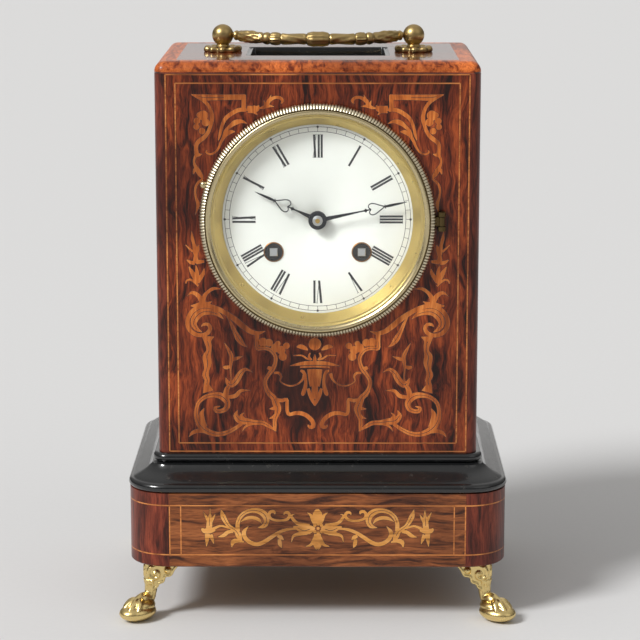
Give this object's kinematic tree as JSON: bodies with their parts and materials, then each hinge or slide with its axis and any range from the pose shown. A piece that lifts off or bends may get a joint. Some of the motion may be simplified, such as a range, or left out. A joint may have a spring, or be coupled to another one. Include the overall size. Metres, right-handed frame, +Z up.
{
  "type": "bracket clock",
  "caption": "Travelling mantel clock: inlaid rosewood case with folding handle, round glazed bezel, enamel dial, striking movement, back door and brass paw feet.",
  "frame": {"origin": "on the surface the clock stands on, under the middle of the case", "axes": "+X to the right as one faces the dial, +Y from the dial to the back, +Z up"},
  "size_m": [0.1814, 0.1434, 0.267],
  "materials": {
    "rosewood": "french polished, gloss",
    "top_veneer": "french polished, gloss",
    "plinth_veneer": "french polished, gloss",
    "ebonised_wood": "ebonised and polished",
    "carcass_oak": "plain, planed",
    "gilt_brass": "cast, chased and lacquered",
    "brass": "turned and lacquered",
    "movement_brass": "brushed",
    "bronze": "cast, aged",
    "blued_steel": "blued",
    "steel": "satin",
    "enamel": "fired enamel, gloss",
    "glass": "clear, polished"
  },
  "bodies": {
    "case": {"case_front_panel": "rosewood", "case_left_side": "rosewood", "case_right_side": "rosewood", "case_top_board": "top_veneer", "case_back_frame": "rosewood", "case_floor_board": "carcass_oak", "top_window_glass": "glass", "plinth_moulding": "ebonised_wood", "plinth_frieze": "plinth_veneer", "plinth_base_board": "carcass_oak", "front_left_foot": "gilt_brass", "front_right_foot": "gilt_brass", "rear_left_foot": "gilt_brass", "rear_right_foot": "gilt_brass", "handle_rosette_left": "gilt_brass", "handle_rosette_right": "gilt_brass", "handle_post_left": "gilt_brass", "handle_post_right": "gilt_brass", "handle_nut_left": "movement_brass", "handle_nut_right": "movement_brass", "dial_pan": "brass", "dial_surround": "brass", "enamel_dial": "enamel", "winding_grommet_left": "brass", "winding_grommet_right": "brass", "bezel_hinge": "brass", "movement_front_plate": "movement_brass", "movement_pillar_plate": "movement_brass", "movement_bracket_left": "movement_brass", "movement_bracket_right": "movement_brass", "platform_plate": "movement_brass", "balance_cock": "movement_brass", "bell": "bronze", "bell_stand": "steel", "back_door_hinge_lower": "brass", "back_door_hinge_upper": "brass"},
    "bezel": {"bezel_ring": "brass", "bezel_glass": "glass"},
    "handle": {"handle_bail": "bronze"},
    "back_door": {"back_door": "rosewood", "back_door_knob": "brass"},
    "centre_arbor": {"centre_wheel": "movement_brass", "cannon_pinion": "steel", "minute_hand": "blued_steel", "hand_nut": "movement_brass"},
    "hour_pipe": {"hour_wheel": "movement_brass", "hour_hand": "blued_steel"},
    "minute_wheel_body": {"minute_wheel": "movement_brass"},
    "going_barrel_body": {"going_barrel": "movement_brass"},
    "going_winder": {"going_winding_arbor": "steel"},
    "second_wheel_body": {"second_wheel": "movement_brass"},
    "third_wheel_body": {"third_wheel": "movement_brass"},
    "contrate_wheel_body": {"contrate_wheel": "movement_brass"},
    "escape_wheel_body": {"escape_wheel": "movement_brass"},
    "balance_body": {"balance_wheel": "movement_brass"},
    "strike_barrel_body": {"strike_barrel": "movement_brass"},
    "strike_winder": {"strike_winding_arbor": "steel"},
    "strike_pin_wheel_body": {"strike_pin_wheel": "movement_brass"},
    "strike_fly_body": {"strike_fly": "movement_brass"},
    "strike_hammer_body": {"strike_hammer": "steel"}
  },
  "joints": [
    {"name": "bezel_open", "type": "hinge", "parent": "case", "child": "bezel", "pos_m": [0.0554, -0.0559, 0.1836], "axis": [0, 0, 1], "range_deg": [0, 110]},
    {"name": "handle_fold", "type": "hinge", "parent": "case", "child": "handle", "pos_m": [0, 0, 0.2619], "axis": [-1, 0, 0], "range_deg": [0, 180]},
    {"name": "back_door_open", "type": "hinge", "parent": "case", "child": "back_door", "pos_m": [0.0563, 0.0559, 0.163], "axis": [0, 0, -1], "range_deg": [0, 110]},
    {"name": "minute_hand_turn", "type": "hinge", "parent": "case", "child": "centre_arbor", "pos_m": [0, 0, 0.1836], "axis": [0, 1, 0], "continuous": true},
    {"name": "hour_hand_turn", "type": "hinge", "parent": "case", "child": "hour_pipe", "pos_m": [0, 0, 0.1836], "axis": [0, 1, 0], "continuous": true},
    {"name": "minute_wheel_turn", "type": "hinge", "parent": "case", "child": "minute_wheel_body", "pos_m": [0, 0, 0.1739], "axis": [0, 1, 0], "continuous": true},
    {"name": "second_wheel_turn", "type": "hinge", "parent": "case", "child": "second_wheel_body", "pos_m": [-0.01577, 0, 0.18818], "axis": [0, 1, 0], "continuous": true},
    {"name": "going_barrel_turn", "type": "hinge", "parent": "case", "child": "going_barrel_body", "pos_m": [-0.0197, 0, 0.1688], "axis": [0, 1, 0], "continuous": true},
    {"name": "third_wheel_turn", "type": "hinge", "parent": "case", "child": "third_wheel_body", "pos_m": [0, 0, 0.19774], "axis": [0, 1, 0], "continuous": true},
    {"name": "contrate_wheel_turn", "type": "hinge", "parent": "case", "child": "contrate_wheel_body", "pos_m": [0, 0, 0.20957], "axis": [0, 1, 0], "continuous": true},
    {"name": "escape_wheel_turn", "type": "hinge", "parent": "case", "child": "escape_wheel_body", "pos_m": [0, -0.0182, 0.2196], "axis": [0, 0, 1], "continuous": true},
    {"name": "balance_swing", "type": "hinge", "parent": "case", "child": "balance_body", "pos_m": [0, -0.0062, 0.2286], "axis": [0, 0, 1], "range_deg": [-150, 150]},
    {"name": "going_winding_turn", "type": "hinge", "parent": "case", "child": "going_winder", "pos_m": [-0.0197, 0, 0.1688], "axis": [0, 1, 0], "continuous": true},
    {"name": "strike_winding_turn", "type": "hinge", "parent": "case", "child": "strike_winder", "pos_m": [0.0197, 0, 0.1688], "axis": [0, 1, 0], "continuous": true},
    {"name": "strike_pin_wheel_turn", "type": "hinge", "parent": "case", "child": "strike_pin_wheel_body", "pos_m": [0.01577, 0, 0.18818], "axis": [0, 1, 0], "continuous": true},
    {"name": "strike_barrel_turn", "type": "hinge", "parent": "case", "child": "strike_barrel_body", "pos_m": [0.0197, 0, 0.1688], "axis": [0, 1, 0], "continuous": true},
    {"name": "strike_fly_turn", "type": "hinge", "parent": "case", "child": "strike_fly_body", "pos_m": [0.02177, 0, 0.20347], "axis": [0, 1, 0], "continuous": true},
    {"name": "hammer_lift", "type": "hinge", "parent": "case", "child": "strike_hammer_body", "pos_m": [0.0315, 0, 0.1596], "axis": [0, 1, 0], "range_deg": [0, 14], "stiffness_Nm_per_rad": 0.02, "springref_deg": -11.46}
  ],
  "couplings": [
    {"joint": "hour_hand_turn", "follows": "minute_hand_turn", "ratio": 0.083333},
    {"joint": "minute_wheel_turn", "follows": "minute_hand_turn", "ratio": -0.33333},
    {"joint": "second_wheel_turn", "follows": "minute_hand_turn", "ratio": -0.2},
    {"joint": "going_barrel_turn", "follows": "minute_hand_turn", "ratio": 0.04},
    {"joint": "third_wheel_turn", "follows": "minute_hand_turn", "ratio": -8},
    {"joint": "contrate_wheel_turn", "follows": "minute_hand_turn", "ratio": 60},
    {"joint": "strike_barrel_turn", "follows": "strike_pin_wheel_turn", "ratio": -0.2},
    {"joint": "strike_fly_turn", "follows": "strike_pin_wheel_turn", "ratio": -5}
  ]
}
